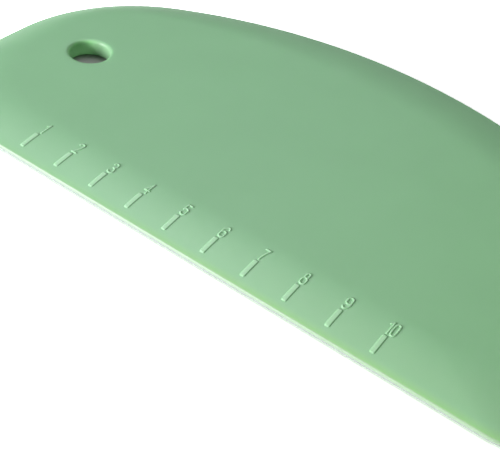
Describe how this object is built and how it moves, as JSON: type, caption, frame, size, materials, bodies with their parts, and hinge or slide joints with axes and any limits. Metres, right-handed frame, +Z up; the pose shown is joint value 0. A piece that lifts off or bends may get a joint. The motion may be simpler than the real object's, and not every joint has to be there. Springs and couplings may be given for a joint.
{
  "type": "bowl scraper",
  "caption": "Flexible bowl scraper with one straight edge and one round edge, a raised centimetre ruler and a hang hole.",
  "frame": {"origin": "under the middle of the outline, on the face that it lies on", "axes": "+X along the straight edge, from the hang hole's end to the plain end; +Y from the straight edge to the round edge; +Z up, out of the face with the ruler"},
  "size_m": [0.1678, 0.093, 0.0045],
  "materials": {
    "silicone": "soft matt green silicone",
    "nylon": "natural nylon"
  },
  "bodies": {
    "root": {"silicone_overmould": "silicone", "core_plate": "nylon"}
  },
  "joints": []
}
